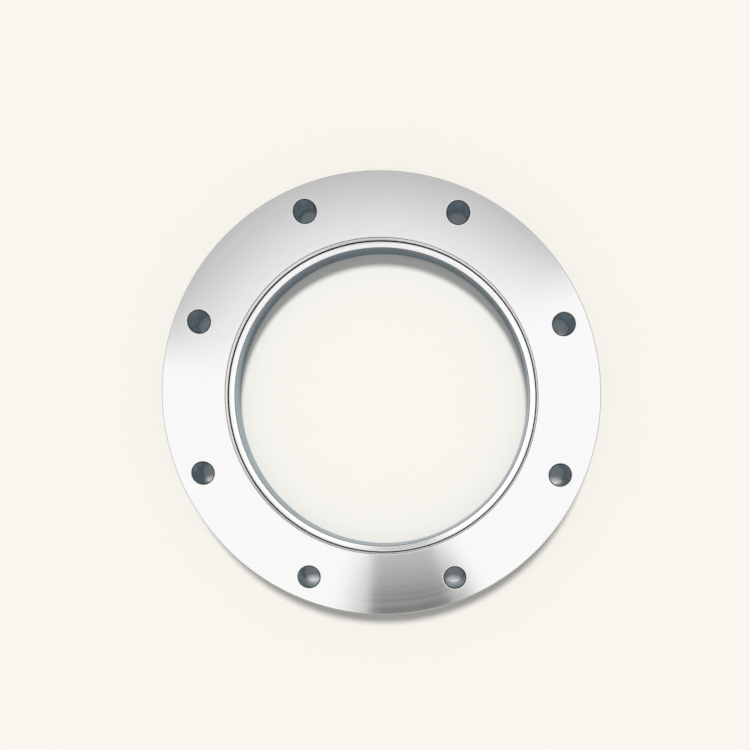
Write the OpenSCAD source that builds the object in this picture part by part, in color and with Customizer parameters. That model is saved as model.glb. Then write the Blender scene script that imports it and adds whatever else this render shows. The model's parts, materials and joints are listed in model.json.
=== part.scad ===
// Fixed vacuum flange, turned from one steel blank and drilled for through bolts.
// The tube is welded into the socket in the upper face. The lower face is the sealing face:
// it lies against the seal of the flange that it is bolted to.
// Millimetres. The origin is the centre of the sealing face, and +Z points to the tube.

/* [Tube socket] */
// Outer diameter of the tube that is welded into the socket
tube_d = 159; // [60:0.5:400]
// Wall of that tube, whose inside is flush with the bore
tube_wall = 3; // [1.5:0.1:20]
// Clearance all round between the tube and the socket
tube_clearance = 0.5; // [0.1:0.05:1.5]
// Depth of the socket, from the back face to the ledge that stops the tube
socket_depth = 5; // [2:0.1:12]
// Radius of the relief turned into the corner at the foot of the socket
relief_r = 0.5; // [0.2:0.05:1]
// Width of the 45 degree break round the mouth of the socket
socket_break = 0.3; // [0.1:0.05:2]

/* [Disc] */
// Thickness of the flange, from the sealing face to the back face
flange_t = 16; // [8:0.5:40]
// Width of the flat land from the socket's wall to the bolt circle
land_w = 20; // [8:0.5:60]
// Width of the rim from the bolt circle to the outer edge
rim_w = 12.5; // [8:0.5:60]
// Width of the 45 degree break on both edges of the rim
rim_break = 0.5; // [0.1:0.1:1.5]

/* [Bolt holes] */
// Number of bolt holes, spread evenly over the bolt circle
bolt_count = 8; // [3:1:24]
// Diameter of each bolt hole
bolt_hole_d = 11; // [4:0.1:20]
// Width of the 45 degree break at both mouths of each bolt hole
hole_break = 0.6; // [0.1:0.1:1.5]

/* [Bore] */
// Width of the 45 degree break at both ends of the bore
bore_break = 0.3; // [0.1:0.05:0.9]

/* [Hidden] */
$fn = 180;

socket_r = tube_d / 2 + tube_clearance;
bore_r = tube_d / 2 - tube_wall;
bolt_circle_r = socket_r + land_w;
rim_r = bolt_circle_r + rim_w;
ledge_z = flange_t - socket_depth;
bolt_step = 360 / bolt_count;
// The holes straddle the X axis, so that no bolt lies on it
first_bolt = bolt_step / 2;
// How far a cutting tool runs past the face that it cuts
overrun = 1;

// Half of the ring's section, anticlockwise from the bore's lower edge
module ring_section() {
    polygon([
        [bore_r + bore_break, 0],
        [rim_r - rim_break, 0],
        [rim_r, rim_break],
        [rim_r, flange_t - rim_break],
        [rim_r - rim_break, flange_t],
        [socket_r + socket_break, flange_t],
        [socket_r, flange_t - socket_break],
        [socket_r, ledge_z],
        [bore_r + bore_break, ledge_z],
        [bore_r, ledge_z - bore_break],
        [bore_r, bore_break]
    ]);
}

// Round relief that clears the sharp corner between the socket's wall and its ledge
module corner_relief() {
    rotate_extrude()
        translate([socket_r, ledge_z])
            circle(r = relief_r);
}

// Cone that breaks the edge of a hole whose mouth opens upwards at z = 0
module mouth_break(hole_r, width) {
    translate([0, 0, -width])
        cylinder(h = width + overrun, r1 = hole_r, r2 = hole_r + width + overrun);
}

// Everything that the drill and the countersink take away for one bolt
module bolt_cut() {
    hole_r = bolt_hole_d / 2;
    translate([0, 0, -overrun])
        cylinder(h = flange_t + 2 * overrun, r = hole_r);
    translate([0, 0, flange_t])
        mouth_break(hole_r, hole_break);
    mirror([0, 0, 1])
        mouth_break(hole_r, hole_break);
}

module bolt_cuts() {
    for (i = [0 : bolt_count - 1])
        rotate([0, 0, first_bolt + i * bolt_step])
            translate([bolt_circle_r, 0, 0])
                bolt_cut();
}

module flange() {
    color("silver")
        difference() {
            rotate_extrude() ring_section();
            corner_relief();
            bolt_cuts();
        }
}

flange();
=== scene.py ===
import json
import math

import bmesh
import bpy
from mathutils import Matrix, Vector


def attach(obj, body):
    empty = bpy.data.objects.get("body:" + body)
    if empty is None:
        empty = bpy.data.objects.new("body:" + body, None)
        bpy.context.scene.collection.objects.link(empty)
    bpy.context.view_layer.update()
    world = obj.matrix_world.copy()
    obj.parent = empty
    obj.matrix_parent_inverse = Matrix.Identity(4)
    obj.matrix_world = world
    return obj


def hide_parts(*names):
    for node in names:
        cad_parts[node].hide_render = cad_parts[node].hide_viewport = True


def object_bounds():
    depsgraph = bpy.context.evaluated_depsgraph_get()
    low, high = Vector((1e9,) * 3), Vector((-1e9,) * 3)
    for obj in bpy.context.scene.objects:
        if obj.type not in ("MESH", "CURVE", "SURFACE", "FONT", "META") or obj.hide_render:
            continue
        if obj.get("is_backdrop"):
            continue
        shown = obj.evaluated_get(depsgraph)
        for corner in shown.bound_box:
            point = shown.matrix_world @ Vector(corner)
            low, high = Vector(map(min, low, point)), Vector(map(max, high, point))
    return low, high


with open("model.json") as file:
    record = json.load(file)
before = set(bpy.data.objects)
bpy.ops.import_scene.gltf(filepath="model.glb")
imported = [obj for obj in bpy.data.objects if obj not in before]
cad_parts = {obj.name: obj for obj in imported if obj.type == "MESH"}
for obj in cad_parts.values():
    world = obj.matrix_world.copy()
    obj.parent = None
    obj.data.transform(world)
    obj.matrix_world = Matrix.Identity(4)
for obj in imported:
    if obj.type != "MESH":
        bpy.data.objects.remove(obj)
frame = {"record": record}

cad_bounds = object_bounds()
MM = 0.001

# Sizes of the flange, read from the frame's mounts
mounts = {mount["name"]: mount for mount in frame["record"]["mounts"]}
bore_r = mounts["bore"]["dims"]["r_mm"] * MM
socket_r = mounts["tube_socket"]["dims"]["r_mm"] * MM
hole_r = mounts["bolt_holes"]["dims"]["hole_r_mm"] * MM
bolt_circle_r = mounts["bolt_holes"]["dims"]["pcd_mm"] * MM / 2
bolt_count = mounts["bolt_holes"]["dims"]["count"]
ledge_z = mounts["tube_stop"]["pos_m"][2]
flange_t = mounts["back_face"]["pos_m"][2]
rim_r = cad_bounds[1].x

# Broken edges and the relief at the foot of the socket
RIM_BREAK = 0.5 * MM
HOLE_BREAK = 0.6 * MM
SOCKET_BREAK = 0.3 * MM
BORE_BREAK = 0.3 * MM
RELIEF_R = 0.5 * MM
# Width of the ring round a mouth that is given a painted highlight
HIGHLIGHT_RING = 0.4 * MM

# Steps from the X axis round to the first bolt hole
FIRST_HOLE = 0.5

# Segments round a circle of the lathe, round a drilled hole and along the relief
LATHE_STEPS = 384
DRILL_STEPS = 72
RELIEF_STEPS = 12
# Edges sharper than this stay crisp
CREASE = math.radians(30)

# Turned surfaces: distance between broad rings in millimetres, and the fine rings' share of the tone
BROAD_PITCH = 2.9
FINE_SHARE = 0.7
# How far fine rings, broad rings and clouds change the roughness
FINE_WEAR = 0.03
BROAD_WEAR = 0.04
CLOUD_WEAR = 0.03
# How far the sheen spreads across the rings, and the quarter turn that lays it across them
SHEEN_SPREAD = 0.95
SHEEN_TURN = 0.25
# How strongly the rings show in relief, and how deep they are
RING_STRENGTH = 0.2
RING_DEPTH = 0.015 * MM

# Cut walls: distance between the tool's marks in millimetres, their relief, and the roughness
CUT_PITCH = 0.5
CUT_STRENGTH = 0.3
CUT_DEPTH = 0.02 * MM
CUT_ROUGHNESS = (0.225, 0.375)

# Roughness of the broken edges, and roughness, metallic share and gloss of the relief, whose near-black
# colour is painted shade
BEVEL_ROUGHNESS = (0.22, 0.32)
RELIEF_ROUGHNESS = (0.5, 0.7)
RELIEF_METALLIC = 0.6
RELIEF_SPECULAR = 0.2

# The photograph's camera: where it stands, how it leans and how its frame was cut
CAMERA_PLACE = (0.02447, -0.02423, 0.35895)
CAMERA_LEAN = (-5.429, -0.229, 0.333)
CAMERA_LENS = 31.79
CAMERA_SENSOR = 36.0
CAMERA_SHIFT = (-0.076, 0.18)

# The floor lies just under the sealing face
FLOOR_RADIUS = 6.0
FLOOR_STEPS = 96
FLOOR_GAP = 0.1 * MM
FLOOR_COLOUR = (0.915, 0.895, 0.84, 1.0)

# The sky is drawn on a level ceiling one unit up, round the point that the bore's axis mirrors
MIRROR_POINT = (-0.0713, 0.0706)
# The lowest direction that is still told apart there, and the least distance that is divided by
LOW_DIRECTION = 0.1
LEAST = 0.02

# The dark gap at the near side is a wedge: its turn from the Y axis and the angles of its soft edge
GAP_TURN = 7.7
GAP_EDGE = (10.8, 12.4)
# Distances between which it starts, deepens and ends, and its depth before and after it deepens
GAP_START = (0.02, 0.1)
GAP_DEEPENS = (0.23, 0.34)
GAP_END = (0.36, 0.5)
GAP_DEPTH = (0.4, 1.0)
# The softer shade beside it: the angle where it ends, where it starts, its depth left and right, and
# where the one depth goes over into the other
SHADE_END = 22.0
SHADE_START = (0.22, 0.28)
SHADE_DEPTH = (0.38, 0.62)
SHADE_MIDDLE = (-0.02, 0.02)

# The grey far side: its turn from the Y axis, where it deepens and how far
FAR_TURN = 10.0
FAR_DEEPENS = (0.19, 0.38)
FAR_DEPTH = 0.7
# Cosine at which its soft edge starts, and the one at which it ends: the first number less the second
# times the distance, within the limits
FAR_EDGE = 0.27
FAR_SOFT_EDGE = (2.1, 4.4)
FAR_EDGE_LIMITS = (0.5, 1.0)
# Distances between which the far side fades out towards the horizon
OVERHEAD = (0.45, 1.2)

# Brightness low down, overhead and at the horizon, and the heights between which each takes over
LOW_LEVEL = 0.62
TOP_LEVEL = 1.12
RISE = (0.1, 0.9)
HORIZON_LEVEL = 0.95
HORIZON = (0.12, 0.5)
# Colour of the sky, and of the horizon, which has the floor's tint
SKY_COLOUR = (1.0, 1.0, 1.0, 1.0)
HORIZON_COLOUR = (1.0, 0.98, 0.925, 1.0)
# Soft boxes that stand round the flange, and how much darker it is between them
BOX_COUNT = 5
BOX_SHADE = 0.34

# Level of the light that falls on the floor from all round, and of the sun that casts the shadow, with
# the sun's lean and width in degrees
DOME_LEVEL = 0.42
SUN_LEVEL = 2.2
SUN_LEAN = -29.0
SUN_WIDTH = 13.0


class Wire:
    """A number that runs through a node tree. Sums and products of wires add their Math nodes."""

    def __init__(self, nodes, socket):
        self.nodes = nodes
        self.socket = socket

    def math(self, operation, *others):
        inputs = dict(enumerate((self, *others)))
        return self.nodes.add("Math", {"operation": operation}, inputs)

    def __add__(self, other):
        return self.math("ADD", other)

    def __sub__(self, other):
        return self.math("SUBTRACT", other)

    def __rsub__(self, other):
        return self.nodes.add("Math", {"operation": "SUBTRACT"}, {0: other, 1: self})

    def __mul__(self, other):
        return self.math("MULTIPLY", other)

    def __truediv__(self, other):
        return self.math("DIVIDE", other)

    __radd__ = __add__
    __rmul__ = __mul__


class Nodes:
    """The node tree of a material or a world."""

    def __init__(self, owner):
        owner.use_nodes = True
        self.tree = owner.node_tree
        self.tree.nodes.clear()

    def add(self, kind, settings=None, inputs=None, output=0):
        """Adds a node, sets it, feeds its sockets and returns one output, or one for each name given."""
        node = self.tree.nodes.new("ShaderNode" + kind)
        for name, value in (settings or {}).items():
            setattr(node, name, value)
        for name, value in (inputs or {}).items():
            if isinstance(value, Wire):
                self.tree.links.new(value.socket, node.inputs[name])
            else:
                node.inputs[name].default_value = value
        if isinstance(output, tuple):
            return [Wire(self, node.outputs[name]) for name in output]
        return Wire(self, node.outputs[output])

    def smooth_step(self, value, start, end):
        """0 where the value is at start, 1 where it is at end, with a soft change between them."""
        settings = {"interpolation_type": "SMOOTHSTEP"}
        return self.add("MapRange", settings, {"Value": value, "From Min": start, "From Max": end})

    def ramp(self, factor, start, end):
        """A number that goes from start to end with the factor."""
        return start + (end - start) * factor

    def blend(self, factor, start, end):
        """A colour that goes from start to end with the factor."""
        return self.add("Mix", {"data_type": "RGBA"}, {0: factor, 6: start, 7: end}, output=2)

    def rings(self, feed, pitch, detail):
        """Noise that changes along the tool's feed only, so that it lies in rings round the axis."""
        settings = {"noise_dimensions": "1D"}
        return self.add("TexNoise", settings, {"W": feed, "Scale": 1.0 / pitch, "Detail": detail})

    def clouds(self, place, scale, detail):
        """Noise that changes in every direction."""
        return self.add("TexNoise", inputs={"Vector": place, "Scale": scale, "Detail": detail})

    def bump(self, height, strength, depth):
        return self.add("Bump", inputs={"Strength": strength, "Distance": depth, "Height": height})

    def finish(self, kind, shader):
        end = self.tree.nodes.new("ShaderNodeOutput" + kind)
        self.tree.links.new(shader.socket, end.inputs["Surface"])


# Finishes of the steel

def new_finish(name):
    material = bpy.data.materials.new(name)
    nodes = Nodes(material)
    place = nodes.add("TexCoord", output="Object")
    return material, nodes, place


def distance_from_axis(nodes, place):
    """Distance from the flange's axis, in millimetres."""
    x, y = nodes.add("SeparateXYZ", inputs={"Vector": place}, output=("X", "Y"))
    return (x * x + y * y).math("SQRT") / MM


def height_over_face(nodes, place):
    """Height over the sealing face, in millimetres."""
    return nodes.add("SeparateXYZ", inputs={"Vector": place}, output="Z") / MM


def turned_steel(name, tone, roughness, pitch, contrast=0.04):
    """A turned surface: fine rings round the axis, and a sheen that spreads across them."""
    material, nodes, place = new_finish(name)
    feed = distance_from_axis(nodes, place) + height_over_face(nodes, place)
    fine = nodes.rings(feed, pitch, detail=3.0)
    broad = nodes.rings(feed, BROAD_PITCH, detail=2.0)
    cloud = nodes.clouds(place, scale=22.0, detail=4.0)
    marks = FINE_SHARE * fine + (1.0 - FINE_SHARE) * broad
    worn = FINE_WEAR * (fine - 0.5) + BROAD_WEAR * (broad - 0.5) + CLOUD_WEAR * (cloud - 0.5)
    dark = tone * (1.0 - contrast)
    shader = nodes.add("BsdfPrincipled", inputs={
        "Base Color": nodes.blend(marks, (dark, dark, dark, 1.0), (tone, tone, tone, 1.0)),
        "Metallic": 1.0,
        "Roughness": roughness + worn,
        "Anisotropic": SHEEN_SPREAD,
        "Anisotropic Rotation": SHEEN_TURN,
        "Normal": nodes.bump(fine, RING_STRENGTH, RING_DEPTH),
    })
    nodes.finish("Material", shader)
    return material


def faced_steel():
    return turned_steel("faced_steel", tone=0.86, roughness=0.1, pitch=0.32)


def highlight_ring_steel():
    """The rings round the mouths, lighter than the faces as a painted highlight."""
    return turned_steel("highlight_ring_steel", tone=0.97, roughness=0.32, pitch=0.2)


# The socket wall, lighter than the faces as a painted highlight
def socket_steel():
    return turned_steel("socket_steel", tone=0.93, roughness=0.24, pitch=0.2)


def ledge_steel():
    """The ledge that stops the tube, lighter than the faces as a painted highlight."""
    return turned_steel("ledge_steel", tone=0.96, roughness=0.16, pitch=0.2)


# The rim: coarser rings, and a tone much darker than the faces' as painted shade
def rim_steel():
    return turned_steel("rim_steel", tone=0.56, roughness=0.22, pitch=0.9, contrast=0.4)


def cut_wall(name, dark, light):
    """A wall left by a cutting tool: rougher than the faces, with coarser rings, and a dark bluish
    colour that is painted shade and painted reflection.
    """
    material, nodes, place = new_finish(name)
    marks = nodes.rings(height_over_face(nodes, place), CUT_PITCH, detail=2.0)
    cloud = nodes.clouds(place, scale=90.0, detail=3.0)
    shader = nodes.add("BsdfPrincipled", inputs={
        "Base Color": nodes.blend(cloud, dark, light),
        "Metallic": 1.0,
        "Roughness": nodes.ramp(marks, *CUT_ROUGHNESS),
        "Normal": nodes.bump(marks, CUT_STRENGTH, CUT_DEPTH),
    })
    nodes.finish("Material", shader)
    return material


# The bore's wall: its dark bluish colour is painted shade and painted reflection
def bored_steel():
    return cut_wall("bored_steel", dark=(0.24, 0.315, 0.375, 1.0), light=(0.36, 0.45, 0.52, 1.0))


# The bolt holes' walls: their bluish colour is painted reflection and painted shade
def drilled_steel():
    return cut_wall("drilled_steel", dark=(0.47, 0.58, 0.68, 1.0), light=(0.6, 0.7, 0.78, 1.0))


def bevelled(name, dark, light):
    """A broken edge, darker than the faces round it as painted shade, so that it shows as a fine line.
    """
    material, nodes, place = new_finish(name)
    cloud = nodes.clouds(place, scale=140.0, detail=3.0)
    shader = nodes.add("BsdfPrincipled", inputs={
        "Base Color": nodes.blend(cloud, dark, light),
        "Metallic": 1.0,
        "Roughness": nodes.ramp(cloud, *BEVEL_ROUGHNESS),
    })
    nodes.finish("Material", shader)
    return material


def broken_edge():
    """The small bevels of the socket and the bore, painted dark as painted shade."""
    return bevelled("broken_edge", dark=(0.18, 0.19, 0.19, 1.0), light=(0.28, 0.29, 0.29, 1.0))


def broken_rim():
    return bevelled("broken_rim", dark=(0.42, 0.43, 0.43, 1.0), light=(0.54, 0.55, 0.55, 1.0))


def countersunk():
    """The mouths of the bolt holes, painted near-black as painted shade."""
    return bevelled("countersunk", dark=(0.07, 0.075, 0.075, 1.0), light=(0.13, 0.135, 0.135, 1.0))


def painted_shade_relief():
    """The groove at the foot of the socket, painted near-black as painted shade."""
    material, nodes, place = new_finish("painted_shade_relief")
    cloud = nodes.clouds(place, scale=200.0, detail=2.0)
    shader = nodes.add("BsdfPrincipled", inputs={
        "Base Color": nodes.blend(cloud, (0.006, 0.006, 0.006, 1.0), (0.02, 0.019, 0.018, 1.0)),
        "Metallic": RELIEF_METALLIC,
        "Roughness": nodes.ramp(cloud, *RELIEF_ROUGHNESS),
        "Specular IOR Level": RELIEF_SPECULAR,
    })
    nodes.finish("Material", shader)
    return material


# The flat faces, which are filled in between the circles, have the first of these finishes
FINISHES = (
    faced_steel,
    highlight_ring_steel,
    socket_steel,
    ledge_steel,
    rim_steel,
    bored_steel,
    drilled_steel,
    broken_edge,
    broken_rim,
    countersunk,
    painted_shade_relief,
)


# The flange's mesh

def circle_of_points(mesh, centre, radius, z, steps):
    points = []
    for step in range(steps):
        turn = math.tau * step / steps
        place = (centre[0] + radius * math.cos(turn), centre[1] + radius * math.sin(turn), z)
        points.append(mesh.verts.new(place))
    return points


def lathe(mesh, profile, finishes, steps, centre=(0.0, 0.0)):
    """Turns a profile of (radius, height) points about an upright axis, with a finish for each stretch
    between two points. Returns the first circle and the last."""
    circles = [circle_of_points(mesh, centre, radius, z, steps) for radius, z in profile]
    for lower, upper, finish in zip(circles, circles[1:], finishes):
        number = FINISHES.index(finish)
        for step in range(steps):
            after = (step + 1) % steps
            face = mesh.faces.new((lower[step], lower[after], upper[after], upper[step]))
            face.material_index = number
    return circles[0], circles[-1]


def fill_between(mesh, circles):
    """Fills the flat face that these circles bound, the outer one and those of its holes."""
    edges = []
    for circle in circles:
        for start, end in zip(circle, circle[1:] + circle[:1]):
            edges.append(mesh.edges.get((start, end)))
    bmesh.ops.triangle_fill(mesh, use_beauty=True, edges=edges)


def turn_rim(mesh):
    profile = [
        (rim_r - RIM_BREAK, 0.0),
        (rim_r, RIM_BREAK),
        (rim_r, flange_t - RIM_BREAK),
        (rim_r - RIM_BREAK, flange_t),
    ]
    return lathe(mesh, profile, [broken_rim, rim_steel, broken_rim], LATHE_STEPS)


def relief_arc():
    """Three quarters of a circle about the socket's inner corner, from its wall round to its ledge."""
    points = []
    for step in range(RELIEF_STEPS + 1):
        turn = math.pi / 2 - 1.5 * math.pi * step / RELIEF_STEPS
        points.append((socket_r + RELIEF_R * math.cos(turn), ledge_z + RELIEF_R * math.sin(turn)))
    return points


def turn_socket_and_bore(mesh):
    profile = [
        (socket_r + SOCKET_BREAK + HIGHLIGHT_RING, flange_t),
        (socket_r + SOCKET_BREAK, flange_t),
        (socket_r, flange_t - SOCKET_BREAK),
        *relief_arc(),
        (bore_r + BORE_BREAK, ledge_z),
        (bore_r, ledge_z - BORE_BREAK),
        (bore_r, BORE_BREAK),
        (bore_r + BORE_BREAK, 0.0),
    ]
    socket_finishes = [highlight_ring_steel, broken_edge, socket_steel, *[painted_shade_relief] * RELIEF_STEPS]
    bore_finishes = [ledge_steel, broken_edge, bored_steel, broken_edge]
    return lathe(mesh, profile, socket_finishes + bore_finishes, LATHE_STEPS)


def drill_hole(mesh, centre):
    profile = [
        (hole_r + HOLE_BREAK + HIGHLIGHT_RING, 0.0),
        (hole_r + HOLE_BREAK, 0.0),
        (hole_r, HOLE_BREAK),
        (hole_r, flange_t - HOLE_BREAK),
        (hole_r + HOLE_BREAK, flange_t),
        (hole_r + HOLE_BREAK + HIGHLIGHT_RING, flange_t),
    ]
    finishes = [highlight_ring_steel, countersunk, drilled_steel, countersunk, highlight_ring_steel]
    return lathe(mesh, profile, finishes, DRILL_STEPS, centre)


def build_flange():
    mesh = bmesh.new()
    rim_lower, rim_upper = turn_rim(mesh)
    inner_upper, inner_lower = turn_socket_and_bore(mesh)
    lower_circles = [rim_lower, inner_lower]
    upper_circles = [rim_upper, inner_upper]
    for number in range(bolt_count):
        turn = math.tau * (number + FIRST_HOLE) / bolt_count
        centre = (bolt_circle_r * math.cos(turn), bolt_circle_r * math.sin(turn))
        hole_lower, hole_upper = drill_hole(mesh, centre)
        lower_circles.append(hole_lower)
        upper_circles.append(hole_upper)
    fill_between(mesh, lower_circles)
    fill_between(mesh, upper_circles)
    bmesh.ops.recalc_face_normals(mesh, faces=mesh.faces)
    for face in mesh.faces:
        face.smooth = True
    data = bpy.data.meshes.new("turned_flange")
    mesh.to_mesh(data)
    mesh.free()
    data.set_sharp_from_angle(angle=CREASE)
    for finish in FINISHES:
        data.materials.append(finish())
    flange = bpy.data.objects.new("turned_flange", data)
    bpy.context.collection.objects.link(flange)
    return flange


# Stage

def add_floor():
    bpy.ops.mesh.primitive_circle_add(
        vertices=FLOOR_STEPS,
        radius=FLOOR_RADIUS,
        fill_type="NGON",
        location=(0.0, 0.0, -FLOOR_GAP),
    )
    floor = bpy.context.object
    floor.name = "floor"
    material = bpy.data.materials.new("pale_floor")
    nodes = Nodes(material)
    nodes.finish("Material", nodes.add("BsdfDiffuse", inputs={"Color": FLOOR_COLOUR}))
    floor.data.materials.append(material)
    floor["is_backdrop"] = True


def near_gap(nodes, u, v):
    """How dark the near side is: a wedge with crisp edges, and a softer shade on both sides of it."""
    turn = math.radians(GAP_TURN)
    along = u * math.sin(turn) - v * math.cos(turn)
    across = u * math.cos(turn) + v * math.sin(turn)
    slope = across.math("ABSOLUTE") / along.math("MAXIMUM", LEAST)
    edge = [math.tan(math.radians(angle)) for angle in GAP_EDGE]
    wedge = (1.0 - nodes.smooth_step(slope, *edge)) * nodes.smooth_step(along, *GAP_START)
    wedge = wedge * nodes.ramp(nodes.smooth_step(along, *GAP_DEEPENS), *GAP_DEPTH)
    shade = 1.0 - nodes.smooth_step(slope, edge[1], math.tan(math.radians(SHADE_END)))
    shade = shade * nodes.ramp(nodes.smooth_step(across, *SHADE_MIDDLE), *SHADE_DEPTH)
    shade = shade * nodes.smooth_step(along, *SHADE_START)
    return wedge.math("MAXIMUM", shade) * (1.0 - nodes.smooth_step(along, *GAP_END))


def far_shade(nodes, u, v, reach):
    """How dark the far side is: darker further out, where its edge is crisper too."""
    turn = math.radians(FAR_TURN)
    towards = (v * math.cos(turn) - u * math.sin(turn)) / reach.math("MAXIMUM", LEAST)
    edge, fall = FAR_SOFT_EDGE
    least, most = FAR_EDGE_LIMITS
    soft_edge = (edge - fall * reach).math("MAXIMUM", least).math("MINIMUM", most)
    side = nodes.smooth_step(towards, FAR_EDGE, soft_edge)
    return side * FAR_DEPTH * nodes.smooth_step(reach, *FAR_DEEPENS)


def sky_level(nodes, x, y, z):
    """Brightness of the sky in a direction, and how much of it is horizon."""
    height = z.math("MAXIMUM", LOW_DIRECTION)
    u = x / height - MIRROR_POINT[0]
    v = y / height - MIRROR_POINT[1]
    reach = (u * u + v * v).math("SQRT")
    overhead = 1.0 - nodes.smooth_step(reach, *OVERHEAD)
    between_boxes = 0.5 - 0.5 * (BOX_COUNT * y.math("ARCTAN2", x)).math("COSINE")
    level = nodes.ramp(nodes.smooth_step(z, *RISE), LOW_LEVEL, TOP_LEVEL)
    level = level * (1.0 - BOX_SHADE * between_boxes * (1.0 - overhead))
    level = level * (1.0 - near_gap(nodes, u, v)) - far_shade(nodes, u, v, reach) * overhead
    horizon = 1.0 - nodes.smooth_step(z, *HORIZON)
    return level + (HORIZON_LEVEL - level) * horizon, horizon


def sky():
    """What the steel mirrors: bright sides, a grey far side, and a dark gap at the near side."""
    world = bpy.data.worlds.new("sky")
    bpy.context.scene.world = world
    nodes = Nodes(world)
    direction = nodes.add("TexCoord", output="Generated")
    x, y, z = nodes.add("SeparateXYZ", inputs={"Vector": direction}, output=("X", "Y", "Z"))
    level, horizon = sky_level(nodes, x, y, z)
    # Rays that see the sky get its picture, and those that only light the floor get the plain dome
    rays = ("Is Camera Ray", "Is Glossy Ray", "Is Transmission Ray")
    camera_ray, glossy_ray, transmission_ray = nodes.add("LightPath", output=rays)
    seen = (camera_ray + glossy_ray + transmission_ray).math("MINIMUM", 1.0)
    shader = nodes.add("Background", inputs={
        "Color": nodes.blend(horizon, SKY_COLOUR, HORIZON_COLOUR),
        "Strength": nodes.ramp(seen, DOME_LEVEL, level),
    })
    nodes.finish("World", shader)


def add_sun():
    """A soft sun from the far side. It casts the shadows only, and the steel doesn't mirror it."""
    light = bpy.data.lights.new("sun", "SUN")
    light.energy = SUN_LEVEL
    light.angle = math.radians(SUN_WIDTH)
    sun = bpy.data.objects.new("sun", light)
    sun.rotation_euler = (math.radians(SUN_LEAN), 0.0, 0.0)
    sun.visible_glossy = False
    bpy.context.collection.objects.link(sun)


def place_camera():
    camera_data = bpy.data.cameras.new("camera")
    camera_data.lens = CAMERA_LENS
    camera_data.sensor_width = CAMERA_SENSOR
    camera_data.shift_x, camera_data.shift_y = CAMERA_SHIFT
    camera = bpy.data.objects.new("camera", camera_data)
    camera.location = CAMERA_PLACE
    camera.rotation_euler = [math.radians(angle) for angle in CAMERA_LEAN]
    bpy.context.collection.objects.link(camera)
    bpy.context.scene.camera = camera


place_camera()
add_floor()
sky()
add_sun()
bpy.context.scene.view_settings.view_transform = "Standard"

flange = build_flange()
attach(flange, "root")
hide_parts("flange")

boxes = {"cad": cad_bounds, "visual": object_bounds()}
{name: [list(corner) for corner in box] for name, box in boxes.items()}
